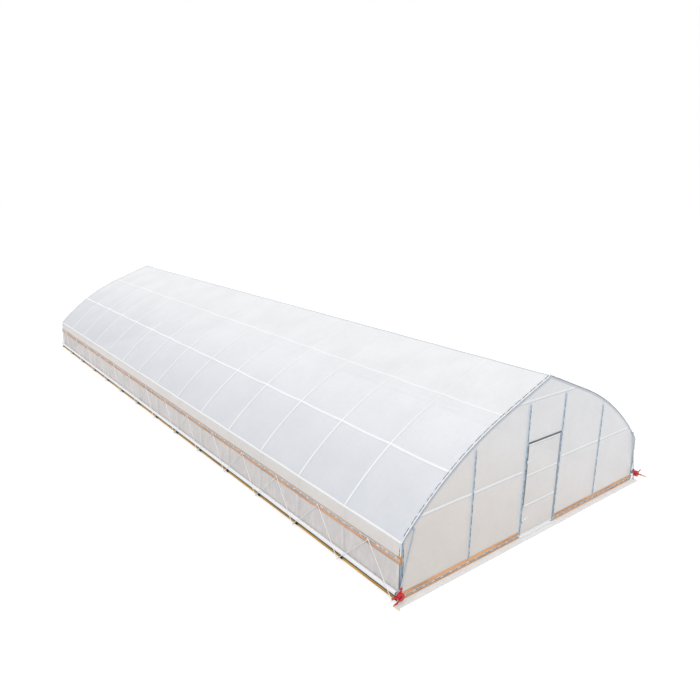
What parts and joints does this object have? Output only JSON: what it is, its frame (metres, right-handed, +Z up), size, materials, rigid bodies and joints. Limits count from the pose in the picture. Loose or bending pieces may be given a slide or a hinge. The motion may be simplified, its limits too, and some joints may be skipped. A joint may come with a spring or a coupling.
{
  "type": "polytunnel greenhouse",
  "caption": "Film-covered tunnel greenhouse on bent steel hoops, with framed ends, a hinged door and side curtains rolled up by hand winders.",
  "frame": {"origin": "centre of the footprint at ground level", "axes": "+X across the tunnel, +Y along it away from the door end, +Z up"},
  "size_m": [6.586, 17.3538, 2.6766],
  "materials": {
    "galvanised_steel": "galvanised",
    "lock_channel": "satin",
    "clear_film": "milky translucent",
    "rolled_film": "satin",
    "timber": "planed",
    "red_paint": "gloss",
    "cream_plastic": "satin",
    "white_rope": "twisted"
  },
  "bodies": {
    "tunnel": {"legs": "galvanised_steel", "bows": "galvanised_steel", "elbows": "galvanised_steel", "ridge_couplers": "galvanised_steel", "ridge_purlin": "galvanised_steel", "upper_purlins": "galvanised_steel", "mid_purlins": "galvanised_steel", "eave_purlins": "galvanised_steel", "collars": "galvanised_steel", "front_door_posts": "galvanised_steel", "front_outer_posts": "galvanised_steel", "back_posts": "galvanised_steel", "front_mid_rails": "galvanised_steel", "back_mid_rail": "galvanised_steel", "door_header": "galvanised_steel", "side_base_boards": "timber", "front_base_boards": "timber", "back_base_board": "timber", "hip_boards": "timber", "hip_channels": "lock_channel", "front_channels": "lock_channel", "back_channels": "lock_channel", "hoop_channels": "lock_channel", "roof_film_left": "clear_film", "roof_film_right": "clear_film", "curtains": "clear_film", "curtain_rolls": "rolled_film", "curtain_ropes": "white_rope", "rope_pegs": "galvanised_steel", "front_film_left": "clear_film", "front_film_right": "clear_film", "front_film_top": "clear_film", "back_film": "clear_film", "front_skirt": "clear_film", "winder_housings": "red_paint", "guide_poles": "galvanised_steel", "door_pintles": "galvanised_steel"},
    "door": {"door_frame": "galvanised_steel", "door_film": "clear_film", "door_straps": "galvanised_steel"},
    "left_winder_crank": {"left_crank": "red_paint", "left_grip": "cream_plastic"},
    "right_winder_crank": {"right_crank": "red_paint", "right_grip": "cream_plastic"}
  },
  "joints": [
    {"name": "door_swing", "type": "hinge", "parent": "tunnel", "child": "door", "pos_m": [-0.4375, -8.4723, 0.3], "axis": [0, 0, -1], "range_deg": [0, 110]},
    {"name": "left_crank_turn", "type": "hinge", "parent": "tunnel", "child": "left_winder_crank", "pos_m": [-3.1379, -8.568, 0.15], "axis": [0, 1, 0], "range_deg": [-20, 245]},
    {"name": "right_crank_turn", "type": "hinge", "parent": "tunnel", "child": "right_winder_crank", "pos_m": [3.1379, -8.568, 0.15], "axis": [0, -1, 0], "range_deg": [-20, 245]}
  ]
}
